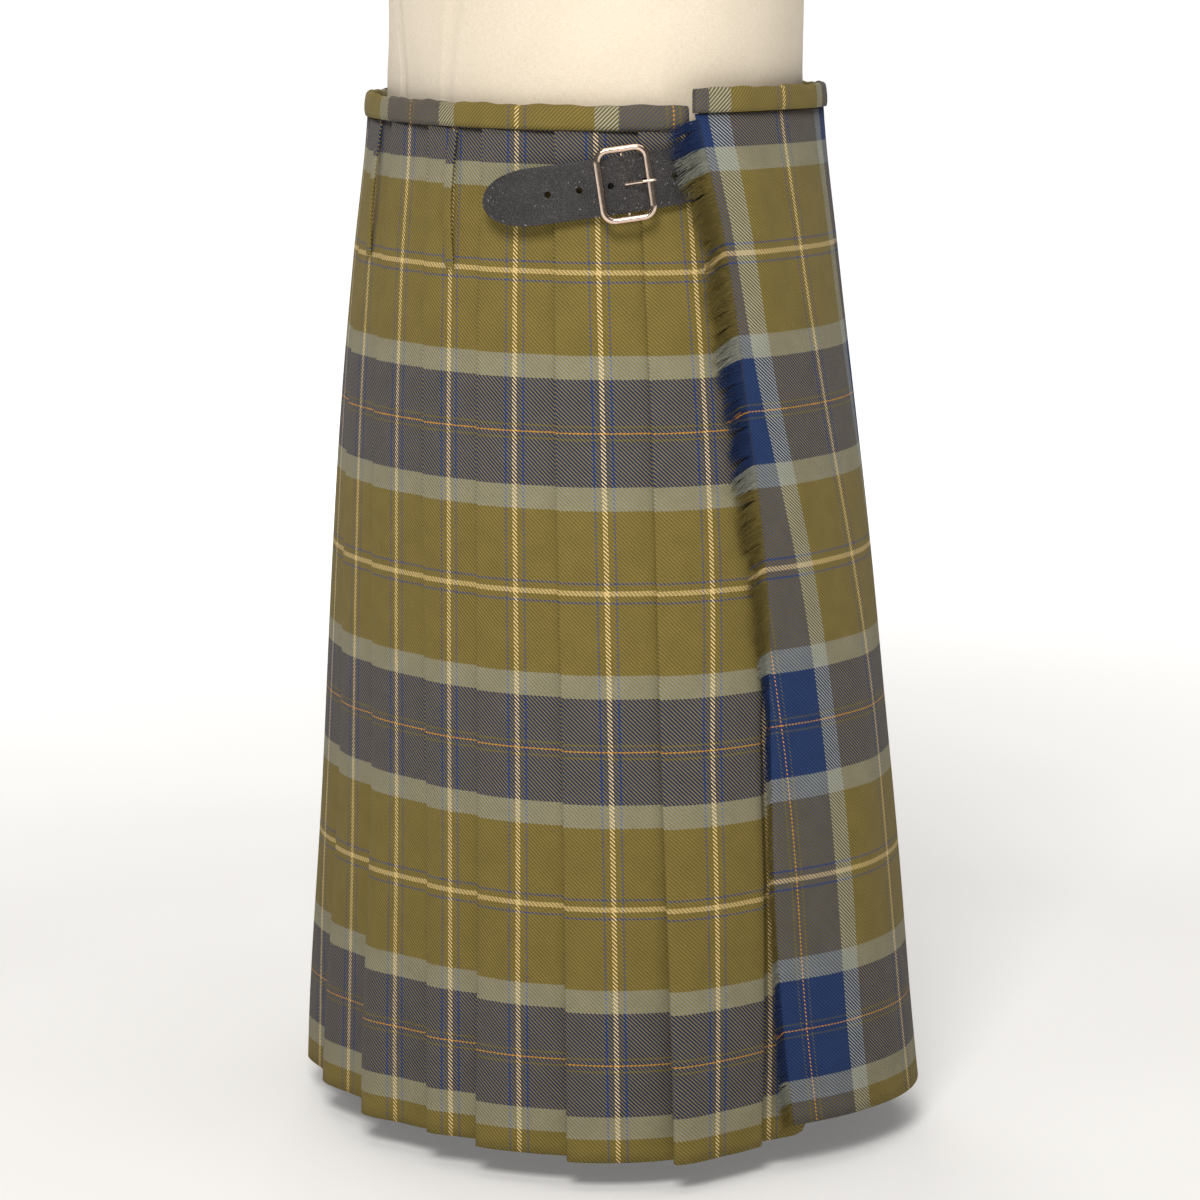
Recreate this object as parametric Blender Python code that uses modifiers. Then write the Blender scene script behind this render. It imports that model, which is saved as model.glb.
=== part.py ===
"""A knife-pleated tartan kilt worn by a limbless dress form on a pole and a round base.

Metres, +Z up, front towards -Y. The origin is the middle of the base's underside.
A "turn" is an angle round the kilt in degrees: 0 at the centre front, 90 at the wearer's
right (-X), 180 at the centre back. A "height" is measured up from the hem. An "offset" is
measured outwards from the ring, which is the body's smooth section at that height.
"""
import functools
import math

import bmesh
import bpy
import numpy as np
from mathutils import Matrix, Vector

# ---------------------------------------------------------------- driving dimensions
HEM_Z = 0.020               # the hem above the floor
RING_BACK = 0.0128          # the rings' middle, back from the base's middle
RING_SIDE = -0.0017
KILT_LENGTH = 0.610         # hem to the top of the waistband
BAND_HEIGHT = 0.014
CLOTH = 0.0012              # thickness of one layer of cloth
SEAM = 0.0003               # gap between pieces that touch
CLOTH_TOP = KILT_LENGTH - BAND_HEIGHT - SEAM

FELL_HEIGHT = 0.360         # above this the pleats are stitched flat
STITCHED_STEP = 0.0036      # how far a fold stands above its neighbour, where stitched
HEM_STEP = 0.0075           # and at the hem, where the pleats open
STITCHED_TUCK = 0.012       # depth of a hidden fold, where stitched
HEM_TUCK = 0.045
FACE_FLOOR = 0.0004         # offset of a face where it goes under its neighbour

APRON_RISE = 0.010          # the over-apron's right edge sits this much higher
APRON_OFFSET = 0.0026
STRAP_WIDTH, STRAP_THICK = 0.032, 0.003
STRAP_LENGTHS = {"right": 0.136, "left": 0.054}
STRAP_HEIGHT, STRAP_TILT = 0.5755, math.radians(9)
STRAP_STARTS = {"right": 90.0, "left": 99.5}
BUCKLE_ALONG = {"right": 0.056, "left": 0.020}
FRAME_ACROSS, FRAME_ALONG, FRAME_WIRE, FRAME_CORNER = 0.044, 0.0325, 0.0020, 0.0065
BAR_RADIUS = 0.0012
TAB_OFFSET = 0.0060
LOOP_WIDTH, LOOP_LENGTH, LOOP_BOW = 0.0065, 0.078, 0.0025

POLE_RADIUS, BASE_RADIUS, BASE_THICK = 0.014, 0.110, 0.012
FORM_CLEARANCE_WAIST, FORM_CLEARANCE_HIP = 0.0085, 0.012

# height, half width, depth to the front, depth to the back, squareness of the front
RINGS = (
    (0.000, 0.2020, 0.1870, 0.1570, 3.10),
    (0.060, 0.2025, 0.1800, 0.1545, 2.95),
    (0.150, 0.1990, 0.1730, 0.1510, 2.70),
    (0.240, 0.1910, 0.1700, 0.1480, 2.45),
    (0.330, 0.1810, 0.1680, 0.1445, 2.20),
    (0.420, 0.1710, 0.1640, 0.1395, 2.00),
    (0.510, 0.1635, 0.1560, 0.1310, 1.88),
    (0.600, 0.1580, 0.1450, 0.1205, 1.85),
    (0.640, 0.1575, 0.1430, 0.1195, 1.85),
)
BACK_SQUARENESS = 2.1

# height, then the turn of each pleat's folded edge, from pleat 1 to pleat 9
PLEAT_EDGES = (
    (0.000, 103.0, 121.0, 139.2, 151.0, 171.5, 195.0, 216.0, 238.0, 260.0),
    (0.240, 104.6, 122.3, 140.4, 155.4, 177.0, 196.5, 217.5, 239.0, 261.0),
    (0.420, 105.0, 124.0, 142.4, 159.2, 181.5, 201.0, 221.0, 241.0, 262.5),
    (0.600, 106.8, 124.8, 144.4, 165.5, 187.0, 208.0, 228.0, 247.5, 266.0),
)
PLEATS = len(PLEAT_EDGES[0]) - 1

# height, turn of pleat 1's right edge, of the apron's right edge, of its left edge, fringe reach
EDGES = (
    (0.000, 86.7, 80.6, 256.0, 0.0080),
    (0.060, 86.5, 83.0, 256.6, 0.0060),
    (0.150, 86.2, 84.6, 257.2, 0.0030),
    (0.240, 85.8, 84.3, 258.0, 0.0025),
    (0.330, 83.4, 83.8, 258.6, 0.0120),
    (0.420, 82.8, 85.6, 259.4, 0.0140),
    (0.510, 84.5, 89.4, 260.8, 0.0150),
    (0.600, 88.0, 96.0, 262.5, 0.0150),
)

# height above the waistband's top, half width, half depth, forward shift
TORSO = (
    (0.060, 0.1500, 0.1170, 0.007),
    (0.130, 0.1610, 0.1180, 0.007),
    (0.200, 0.1750, 0.1210, 0.007),
    (0.270, 0.1860, 0.1220, 0.008),
    (0.330, 0.1900, 0.1120, 0.003),
    (0.375, 0.1800, 0.0930, -0.002),
    (0.405, 0.1450, 0.0780, -0.006),
    (0.425, 0.0980, 0.0680, -0.010),
    (0.440, 0.0680, 0.0610, -0.012),
    (0.470, 0.0590, 0.0560, -0.012),
    (0.505, 0.0570, 0.0550, -0.010),
)

CLOTH_ROWS = (0.0, 0.07, 0.15, 0.24, 0.33, 0.42, 0.51, CLOTH_TOP)


# ---------------------------------------------------------------- sections of the kilt
def read(table, column, height):
    """A column of a table at a height, on a smooth curve through its rows."""
    rows = [row[0] for row in table]
    values = [row[column] for row in table]
    height = min(max(height, rows[0]), rows[-1])
    i = min(max(int(np.searchsorted(rows, height)) - 1, 0), len(rows) - 2)
    slopes = np.gradient(values, rows)
    span = rows[i + 1] - rows[i]
    u = (height - rows[i]) / span
    return (values[i] * (1 + 2 * u) * (1 - u) ** 2 + values[i + 1] * u * u * (3 - 2 * u)
            + span * (slopes[i] * u * (1 - u) ** 2 - slopes[i + 1] * u * u * (1 - u)))


def smooth(value, low, high):
    u = min(max((value - low) / (high - low), 0.0), 1.0)
    return u * u * (3 - 2 * u)


@functools.lru_cache(maxsize=None)
def ring_sizes(height):
    return tuple(read(RINGS, column, height) for column in (1, 2, 3, 4))


def on_ring(turn, height):
    half_width, front, back, squareness = ring_sizes(round(height, 6))
    side, ahead = math.sin(math.radians(turn)), math.cos(math.radians(turn))
    depth, power = (front, squareness) if ahead > 0 else (back, BACK_SQUARENESS)
    radius = (abs(side / half_width) ** power + abs(ahead / depth) ** power) ** (-1 / power)
    return Vector((RING_SIDE - side * radius, RING_BACK - ahead * radius, HEM_Z + height))


def inset(height):
    """The rings are the cloth's outer surface, so its innermost layer starts this far inside."""
    return 0.0030 + 0.0040 * (1 - smooth(height, 0, FELL_HEIGHT))


def cloth_point(turn, height, offset, lift=0.0):
    """A point at a turn and height, moved outwards by offset and up by lift."""
    along = on_ring(turn + 0.5, height) - on_ring(turn - 0.5, height)
    outward = Vector((along.y, -along.x, 0)).normalized()
    if outward.dot(on_ring(turn, height) - Vector((RING_SIDE, RING_BACK, HEM_Z + height))) < 0:
        outward.negate()
    return on_ring(turn, height) + outward * (offset - inset(height)) + Vector((0, 0, lift))


@functools.lru_cache(maxsize=None)
def arc_table(height):
    turns = np.linspace(-180, 360, 1081)
    points = np.array([on_ring(turn, height) for turn in turns])
    steps = np.linalg.norm(np.diff(points, axis=0), axis=1)
    return turns, np.concatenate([[0.0], np.cumsum(steps)])


def arc(turn, height):
    turns, lengths = arc_table(round(height, 6))
    return float(np.interp(turn, turns, lengths))


def turn_past(turn, height, distance):
    """The turn that lies a distance along the ring from another."""
    turns, lengths = arc_table(round(height, 6))
    return float(np.interp(arc(turn, height) + distance, lengths, turns))


def step_at(height):
    return STITCHED_STEP + (HEM_STEP - STITCHED_STEP) * (1 - smooth(height, 0, FELL_HEIGHT))


def tuck_at(height):
    return STITCHED_TUCK + (HEM_TUCK - STITCHED_TUCK) * (1 - smooth(height, 0, FELL_HEIGHT))


def pleat_edge(pleat, height):
    """The turn of a pleat's folded edge. Pleat 0 stands for pleat 1's right edge."""
    return read(EDGES, 1, height) if pleat == 0 else read(PLEAT_EDGES, pleat, height)


def apron_rise(turn):
    """How far the over-apron sits above the rest, from its left edge (turn < 0) to its right."""
    return APRON_RISE * smooth(turn, -97.5, 96.0)


def apron_offset(turn, height):
    """The over-apron clears pleat 1 and the strap at its right, and pleat 9 at its left."""
    right = read(EDGES, 2, height)
    left = read(EDGES, 3, height) - 360
    near_right = smooth(turn, right - 20, right - 8)
    near_left = smooth(-turn, -left - 22, -left - 9)
    over_strap = 0.0028 * smooth(height, 0.42, 0.545)
    over_pleat_9 = step_at(height) + FACE_FLOOR + 0.0027 - 0.001 * height / CLOTH_TOP
    return (APRON_OFFSET + near_right * (0.0016 + over_strap)
            + near_left * (over_pleat_9 - APRON_OFFSET))


# ---------------------------------------------------------------- making solids
def material(name, colour, roughness, metallic=0.0):
    made = bpy.data.materials.new(name)
    made.use_nodes = True
    shader = made.node_tree.nodes["Principled BSDF"]
    shader.inputs["Base Color"].default_value = (*colour, 1)
    shader.inputs["Roughness"].default_value = roughness
    shader.inputs["Metallic"].default_value = metallic
    return made


def add_object(name, mesh, finish, parent):
    made = bpy.data.objects.new(name, mesh)
    made.data.materials.append(finish)
    made.parent = parent
    COLLECTION.objects.link(made)
    return made


def wall(name, columns, rows, place, thickness, finish, parent):
    """A grid laid out by place(column, row), thickened equally to both sides."""
    shape = bmesh.new()
    bmesh.ops.create_grid(shape, x_segments=columns, y_segments=rows, size=1)
    for vertex in shape.verts:
        column = round((vertex.co.x + 1) / 2 * columns)
        row = round((vertex.co.y + 1) / 2 * rows)
        vertex.co = place(column, row)
    mesh = bpy.data.meshes.new(name)
    shape.to_mesh(mesh)
    shape.free()
    made = add_object(name, mesh, finish, parent)
    solid = made.modifiers.new("thickness", "SOLIDIFY")
    solid.thickness = thickness
    solid.offset = 0
    return made


def closed_tube(name, columns, rows, place, finish, parent):
    """A grid wrapped round into a tube, welded along its joint and capped at both ends."""
    shape = bmesh.new()
    bmesh.ops.create_grid(shape, x_segments=columns, y_segments=rows, size=1)
    for vertex in shape.verts:
        column = round((vertex.co.x + 1) / 2 * columns)
        row = round((vertex.co.y + 1) / 2 * rows)
        vertex.co = place(column % columns, row)
    bmesh.ops.remove_doubles(shape, verts=shape.verts, dist=0.00001)
    bmesh.ops.holes_fill(shape, edges=shape.edges, sides=columns)
    bmesh.ops.recalc_face_normals(shape, faces=shape.faces)
    mesh = bpy.data.meshes.new(name)
    shape.to_mesh(mesh)
    shape.free()
    mesh.shade_smooth()
    return add_object(name, mesh, finish, parent)


def turned(name, radius, low, high, sides, bevel, finish, parent):
    bpy.ops.mesh.primitive_cylinder_add(vertices=sides, radius=radius, depth=high - low,
                                        location=(0, 0, (low + high) / 2))
    made = bpy.context.object
    made.name = name
    made.data.name = name
    made.data.materials.append(finish)
    made.parent = parent
    for collection in list(made.users_collection):
        collection.objects.unlink(made)
    COLLECTION.objects.link(made)
    if bevel:
        edge = made.modifiers.new("edge", "BEVEL")
        edge.width = bevel
        edge.segments = 2
        edge.limit_method = "ANGLE"
    made.data.shade_smooth()
    made.data.set_sharp_from_angle(angle=math.radians(40))
    return made


def wire(name, points, radius, closed, place, finish, parent):
    """A round wire along points in the buckle's own axes."""
    line = bpy.data.curves.new(name, "CURVE")
    line.dimensions = "3D"
    spline = line.splines.new("POLY")
    spline.points.add(len(points) - 1)
    for target, (x, y, z, share) in zip(spline.points, points):
        target.co = (x, y, z, 1)
        target.radius = share
    spline.use_cyclic_u = closed
    line.bevel_depth = radius
    line.bevel_resolution = 2
    line.use_fill_caps = not closed
    line.materials.append(finish)
    made = bpy.data.objects.new(name, line)
    made.matrix_world = place
    made.parent = parent
    COLLECTION.objects.link(made)
    return made


# ---------------------------------------------------------------- the pleats
def pleat_section(pleat, height):
    """(distance from the fold towards the image-right neighbour, offset) along one pleat's cloth."""
    step = step_at(height)
    top = step + FACE_FLOOR
    width = arc(pleat_edge(pleat, height), height) - arc(pleat_edge(pleat - 1, height), height)
    tuck = min(tuck_at(height), 0.85 * width)
    if pleat == 1:
        tuck = min(tuck, 0.4 * width)
    fold = step / 4
    section = [(tuck * (1 - i / 3), top - step / 2 - step * tuck * (1 - i / 3) / width)
               for i in range(3)]
    section += [(0.0, top - step / 2), (-fold, top - fold), (0.0, top)]
    section += [(width * i / 4, top - step * i / 4) for i in range(1, 5)]
    if pleat == 1:
        section += [(width + fold, top - step - fold), (width, top - 1.5 * step)]
        section += [(width - tuck * i / 2, top - 1.5 * step + step * tuck * i / 2 / width)
                    for i in (1, 2)]
        return section
    neighbour = arc(pleat_edge(pleat - 1, height), height) - arc(pleat_edge(pleat - 2, height), height)
    lap = min(tuck_at(height), 0.85 * neighbour)
    if pleat == 2:
        lap = min(lap, 0.4 * neighbour)
    section += [(width + lap * i / 3, top - step - step * lap * i / 3 / neighbour)
                for i in range(1, 4)]
    return section


def make_pleat(pleat, finish, parent):
    sections = [pleat_section(pleat, height) for height in CLOTH_ROWS]

    def place(column, row):
        height = CLOTH_ROWS[row]
        distance, offset = sections[row][column]
        turn = turn_past(pleat_edge(pleat, height), height, -distance)
        return cloth_point(turn, height, offset)

    wall(f"pleat_{pleat}", len(sections[0]) - 1, len(CLOTH_ROWS) - 1, place, CLOTH, finish, parent)


# ---------------------------------------------------------------- aprons, fringe, band, loops
def make_over_apron(finish, parent):
    columns = 28

    def place(column, row):
        height = CLOTH_ROWS[row]
        left, right = read(EDGES, 3, height) - 360, read(EDGES, 2, height)
        turn = left + (right - left) * column / columns
        return cloth_point(turn, height, apron_offset(turn, height), apron_rise(turn))

    wall("over_apron", columns, len(CLOTH_ROWS) - 1, place, CLOTH, finish, parent)


def make_under_apron(finish, parent):
    columns = 22

    def place(column, row):
        height = CLOTH_ROWS[row]
        right = read(EDGES, 1, height) + 5
        turn = -84 + (right + 84) * column / columns
        hem_lift = 0.006 * (1 - smooth(height, 0, 0.2)) * (1 - smooth(turn, 60, 88))
        return cloth_point(turn, height, FACE_FLOOR - step_at(height) / 2 - 0.0016, hem_lift)

    wall("under_apron", columns, len(CLOTH_ROWS) - 1, place, CLOTH, finish, parent)


def make_fringe(finish, parent):
    rows = (0.0, 0.06, 0.12, 0.18, 0.24, 0.27, 0.33, 0.39, 0.45, 0.51, 0.545, 0.575, CLOTH_TOP - 0.004)
    thickness = 0.0024

    def place(column, row):
        height = rows[row]
        edge = read(EDGES, 2, height)
        start = CLOTH / 2 + SEAM
        distance = start + (read(EDGES, 4, height) - start) * column / 2
        over_pleat = 0.0012 * smooth(height, 0.24, 0.30)
        over_strap = 0.0018 * column * smooth(height, 0.42, 0.545)
        offset = apron_offset(edge, height) + over_pleat + over_strap
        return cloth_point(turn_past(edge, height, distance), height, offset, apron_rise(96))

    wall("fringe", 2, len(rows) - 1, place, thickness, finish, parent)


def make_band(name, first, last, columns, offset, thickness, rises, finish, parent):
    low, high = KILT_LENGTH - BAND_HEIGHT, KILT_LENGTH

    def place(column, row):
        turn = first + (last - first) * column / columns
        height = low + (high - low) * row / 2
        middle = offset(turn) if callable(offset) else offset
        return cloth_point(turn, height, middle, apron_rise(turn) if rises else 0)

    wall(name, columns, 2, place, thickness, finish, parent)


def make_belt_loop(name, pleat, finish, parent):
    rows = 8
    top = CLOTH_TOP - 0.002

    def place(column, row):
        u = row / rows
        height = top - LOOP_LENGTH * u
        middle = (pleat_edge(pleat, height) + pleat_edge(pleat - 1, height)) / 2
        turn = turn_past(middle, height, LOOP_WIDTH * (column - 1) / 2)
        face = FACE_FLOOR + step_at(height) / 2 + step_at(height) * 0.08
        return cloth_point(turn, height, face + 0.0017 + LOOP_BOW * math.sin(math.pi * u))

    wall(name, 2, rows, place, 0.0015, finish, parent)


# ---------------------------------------------------------------- straps and buckles
def strap_offset(word, along):
    """Low where it starts, humped over the buckle's bar, then standing off to its tip."""
    start = 0.0030 * (1 - smooth(along, 0, 0.035)) if word == "right" else 0
    buckle = BUCKLE_ALONG[word]
    hump = 0.0042 * math.exp(-((along - buckle) / 0.017) ** 2)
    spring = 0.0075 if word == "right" else 0.0010
    return 0.0068 - start + hump + spring * smooth(along, buckle + 0.005, STRAP_LENGTHS[word])


def strap_point(word, along, across, raised=0.0):
    height = STRAP_HEIGHT - along * math.sin(STRAP_TILT) + across
    turn = turn_past(STRAP_STARTS[word], STRAP_HEIGHT, along * math.cos(STRAP_TILT))
    turn += math.degrees(across * math.sin(STRAP_TILT) / 0.15)
    point = cloth_point(turn, height, strap_offset(word, along) + raised)
    if word == "left":
        point.x = 2 * RING_SIDE - point.x
    return point


def make_strap(word, finish, parent):
    length = STRAP_LENGTHS[word]
    columns, tip = (24, 0.030) if word == "right" else (12, 0.020)

    def place(column, row):
        along = length * column / columns
        rounded = max(0.0, (along - length + tip) / tip)
        half = STRAP_WIDTH / 2 * max(math.sqrt(max(1 - rounded ** 2.2, 0)), 0.16)
        return strap_point(word, along, half * (row / 2 - 1))

    wall(f"strap_{word}", columns, 4, place, STRAP_THICK, finish, parent)


def buckle_place(word):
    """The buckle's own axes: X along the strap to its tip, Z outwards."""
    middle = BUCKLE_ALONG[word]
    here = strap_point(word, middle, 0)
    along = (strap_point(word, middle + 0.004, 0) - strap_point(word, middle - 0.004, 0))
    along.normalize()
    across = strap_point(word, middle, 0.004) - strap_point(word, middle, -0.004)
    out = along.cross(across).normalized()
    if out.dot(Vector((here.x, here.y, 0))) < 0:
        out.negate()
    across = out.cross(along).normalized()
    return Matrix.Translation(here) @ Matrix((along, across, out)).transposed().to_4x4()


def rounded_frame():
    """Centre line of the buckle's frame: straight bars with round corners."""
    points = []
    x0, y0 = FRAME_ALONG / 2 - FRAME_WIRE, FRAME_ACROSS / 2 - FRAME_WIRE
    height = STRAP_THICK / 2 + SEAM + FRAME_WIRE
    for quarter in range(4):
        middle_x = (x0 - FRAME_CORNER) * (1 if quarter in (0, 3) else -1)
        middle_y = (y0 - FRAME_CORNER) * (1 if quarter in (0, 1) else -1)
        for i in range(5):
            angle = math.pi / 2 * (quarter + i / 4)
            points.append((middle_x + FRAME_CORNER * math.cos(angle),
                           middle_y + FRAME_CORNER * math.sin(angle), height, 1))
    return points


def make_buckle(word, metal, leather, parent):
    place = buckle_place(word)
    wire(f"buckle_frame_{word}", rounded_frame(), FRAME_WIRE, True, place, metal, parent)
    bar_z = -(STRAP_THICK / 2 + SEAM + BAR_RADIUS)
    half_bar = FRAME_ACROSS / 2 - 2 * FRAME_WIRE - SEAM
    wire(f"buckle_bar_{word}", [(0, -half_bar, bar_z, 1), (0, half_bar, bar_z, 1)],
         BAR_RADIUS, False, place, metal, parent)
    top = STRAP_THICK / 2 + SEAM
    rest = top + 2 * FRAME_WIRE + SEAM
    prong = [(0.000, 0, top + 0.0012, 1), (-0.005, 0, top + 0.0026, 1),
             (-0.010, 0, rest + 0.0008, 0.95), (-0.0145, 0, rest + 0.0011, 0.85),
             (-0.018, 0, rest + 0.0009, 0.6)]
    wire(f"buckle_prong_{word}", prong, 0.0011, False, place, metal, parent)

    def tab(column, row):
        along = BUCKLE_ALONG[word] - 0.004 + 0.024 * column / 4
        across = 0.011 * (row - 1)
        return strap_point(word, along, across, TAB_OFFSET - strap_offset(word, along))

    wall(f"buckle_tab_{word}", 4, 2, tab, 0.0012, leather, parent)


# ---------------------------------------------------------------- dress form and stand
def make_torso(finish, parent):
    """Follows the kilt's rings below the waist, then the torso's own table to the neck."""
    columns = 28
    below = (0.215, 0.235, 0.27, 0.33, 0.42, 0.51, 0.57, 0.625)
    closing = (0.55, 0.80, 0.93, 1.0, 1.0, 1.0, 1.0, 1.0)
    above = [row[0] for row in TORSO]

    def place(column, row):
        turn = 360 * column / columns
        if row < len(below):
            height = below[row]
            share = smooth(height, 0.33, 0.59)
            gap = FORM_CLEARANCE_HIP + (FORM_CLEARANCE_WAIST - FORM_CLEARANCE_HIP) * share
            point = cloth_point(turn, height, -gap)
            middle = Vector((0, 0, point.z))
            return middle + (point - middle) * closing[row]
        height = above[row - len(below)]
        half_width, half_depth = read(TORSO, 1, height), read(TORSO, 2, height)
        side, ahead = math.sin(math.radians(turn)), math.cos(math.radians(turn))
        return Vector((RING_SIDE - side * half_width,
                       RING_BACK - ahead * half_depth - read(TORSO, 3, height),
                       HEM_Z + KILT_LENGTH + height))

    return closed_tube("form_torso", columns, len(below) + len(above) - 1, place, finish, parent)


def make_form(linen, wood, metal, parent):
    make_torso(linen, parent)
    neck_top = HEM_Z + KILT_LENGTH + TORSO[-1][0]
    cap = turned("form_neck_cap", 0.058, neck_top + SEAM, neck_top + 0.014, 28, 0.004, wood, parent)
    cap.location.x = RING_SIDE
    cap.location.y = RING_BACK - TORSO[-1][3]
    form_bottom = HEM_Z + 0.215
    turned("stand_pole", POLE_RADIUS, BASE_THICK + SEAM, form_bottom - SEAM, 20, 0, metal, parent)
    turned("stand_base", BASE_RADIUS, 0, BASE_THICK, 40, 0.003, metal, parent)


# ---------------------------------------------------------------- the whole part
def clear_scene():
    for leftover in list(bpy.data.objects):
        bpy.data.objects.remove(leftover)


clear_scene()
COLLECTION = bpy.data.collections.new("kilt_on_dress_form")
bpy.context.scene.collection.children.link(COLLECTION)


def main():
    whole = bpy.data.objects.new("kilt_on_form", None)
    COLLECTION.objects.link(whole)
    tartan = material("tartan", (0.16, 0.13, 0.05), 0.85)
    fringe = material("fringe_wool", (0.10, 0.09, 0.05), 0.95)
    leather = material("black_leather", (0.012, 0.012, 0.013), 0.45)
    nickel = material("nickel", (0.72, 0.68, 0.62), 0.2, 1.0)
    linen = material("form_linen", (0.87, 0.80, 0.68), 0.9)
    wood = material("neck_cap_wood", (0.62, 0.45, 0.28), 0.5)
    stand = material("stand_paint", (0.80, 0.79, 0.77), 0.4)

    make_form(linen, wood, stand, whole)
    for pleat in range(1, PLEATS + 1):
        make_pleat(pleat, tartan, whole)
    make_over_apron(tartan, whole)
    make_under_apron(tartan, whole)
    make_fringe(fringe, whole)
    make_band("waistband_back", 96.7, 261.8, 30, 0.0024, 0.0066, False, tartan, whole)
    make_band("waistband_over_apron", -97.6, 96.0, 30,
              lambda turn: apron_offset(turn, KILT_LENGTH - BAND_HEIGHT) + 0.0006, 0.0042,
              True, tartan, whole)
    make_band("waistband_under_apron", -84, 93, 20, -0.0032, 0.0022, False, tartan, whole)
    for name, pleat in (("belt_loop_right", 4), ("belt_loop_left", 6)):
        make_belt_loop(name, pleat, tartan, whole)
    for word in STRAP_STARTS:
        make_strap(word, leather, whole)
        make_buckle(word, nickel, leather, whole)


main()
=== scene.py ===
"""The finished look of a tartan kilt on a limbless dress form: woven cloth, leather, nickel, linen.

Metres, +Z up, front towards -Y. A "turn" is an angle round the kilt in degrees: 0 at the centre
front, 90 at the wearer's right (-X), 180 at the centre back. A "height" is measured up from the
hem, and an "offset" outwards from the ring, which is the body's smooth section at that height.
"""

import functools
import math
import random

import bmesh
import bpy
import numpy as np
from mathutils import Matrix, Vector


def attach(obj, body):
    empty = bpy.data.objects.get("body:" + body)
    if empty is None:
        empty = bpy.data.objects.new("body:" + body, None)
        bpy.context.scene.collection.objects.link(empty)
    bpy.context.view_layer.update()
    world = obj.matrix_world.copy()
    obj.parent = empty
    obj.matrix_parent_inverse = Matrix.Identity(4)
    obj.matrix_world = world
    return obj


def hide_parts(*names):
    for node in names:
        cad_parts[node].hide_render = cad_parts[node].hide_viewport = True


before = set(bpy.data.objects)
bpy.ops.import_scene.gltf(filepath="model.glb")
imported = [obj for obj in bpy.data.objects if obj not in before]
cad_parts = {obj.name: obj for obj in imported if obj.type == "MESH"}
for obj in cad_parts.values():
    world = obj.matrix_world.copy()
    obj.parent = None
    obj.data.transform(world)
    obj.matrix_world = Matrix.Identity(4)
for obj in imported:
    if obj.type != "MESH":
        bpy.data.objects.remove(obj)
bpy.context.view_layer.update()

# ---------------------------------------------------------------- sizes of the kilt
HEM_Z = 0.020
RING_BACK, RING_SIDE = 0.0128, -0.0017
KILT_LENGTH, BAND_HEIGHT = 0.610, 0.014
CLOTH, SEAM = 0.0012, 0.0003
CLOTH_TOP = KILT_LENGTH - BAND_HEIGHT - SEAM
FELL_HEIGHT = 0.360
STITCHED_STEP, HEM_STEP = 0.0036, 0.0075
STITCHED_TUCK, HEM_TUCK = 0.012, 0.045
FACE_FLOOR = 0.0004
APRON_RISE, APRON_OFFSET = 0.010, 0.0026
SETT = 0.183                # one repeat of the tartan
CREAM_HEIGHT = 0.150        # the hem's first cream line

STRAP_WIDTH, STRAP_THICK = 0.032, 0.003
STRAP_LENGTHS = {"right": 0.136, "left": 0.054}
STRAP_HEIGHT, STRAP_TILT = 0.5755, math.radians(9)
STRAP_STARTS = {"right": 90.0, "left": 99.5}
BUCKLE_ALONG = {"right": 0.056, "left": 0.020}
STRAP_HOLES = {"right": (0.0285, 0.046, 0.0635, 0.081, 0.0985), "left": (0.011, 0.0285)}
FRAME_ACROSS, FRAME_ALONG, FRAME_WIRE, FRAME_CORNER = 0.044, 0.0325, 0.0020, 0.0065
BAR_RADIUS, TAB_OFFSET = 0.0012, 0.0060
LOOP_WIDTH, LOOP_LENGTH, LOOP_BOW = 0.0065, 0.078, 0.0025

# height, half width, depth to the front, depth to the back, squareness of the front
RINGS = (
    (0.000, 0.2020, 0.1870, 0.1570, 3.10),
    (0.060, 0.2025, 0.1800, 0.1545, 2.95),
    (0.150, 0.1990, 0.1730, 0.1510, 2.70),
    (0.240, 0.1910, 0.1700, 0.1480, 2.45),
    (0.330, 0.1810, 0.1680, 0.1445, 2.20),
    (0.420, 0.1710, 0.1640, 0.1395, 2.00),
    (0.510, 0.1635, 0.1560, 0.1310, 1.88),
    (0.600, 0.1580, 0.1450, 0.1205, 1.85),
    (0.640, 0.1575, 0.1430, 0.1195, 1.85),
)
BACK_SQUARENESS = 2.1

# height, then the turn of each pleat's folded edge, from pleat 1 to pleat 9
PLEAT_EDGES = (
    (0.000, 103.0, 121.0, 139.2, 151.0, 171.5, 195.0, 216.0, 238.0, 260.0),
    (0.240, 104.6, 122.3, 140.4, 155.4, 177.0, 196.5, 217.5, 239.0, 261.0),
    (0.420, 105.0, 124.0, 142.4, 159.2, 181.5, 201.0, 221.0, 241.0, 262.5),
    (0.600, 106.8, 124.8, 144.4, 165.5, 187.0, 208.0, 228.0, 247.5, 266.0),
)
PLEATS = len(PLEAT_EDGES[0]) - 1

# pleat: how far its fold springs open at the hem, how far up that reaches, how far its hem
# drops, how much its face rounds out below the stitching
OPENINGS = {
    1: (0.0055, 0.28, 0.0010, 0.0012),
    2: (0.0010, 0.12, 0.0018, 0.0008),
    3: (0.0020, 0.16, 0.0006, 0.0010),
    4: (0.0045, 0.22, -0.0012, 0.0022),
    5: (0.0095, 0.30, 0.0010, 0.0034),
    6: (0.0070, 0.28, -0.0008, 0.0036),
    7: (0.0050, 0.24, 0.0012, 0.0030),
    8: (0.0036, 0.19, 0.0000, 0.0020),
    9: (0.0015, 0.14, 0.0008, 0.0010),
}

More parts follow.
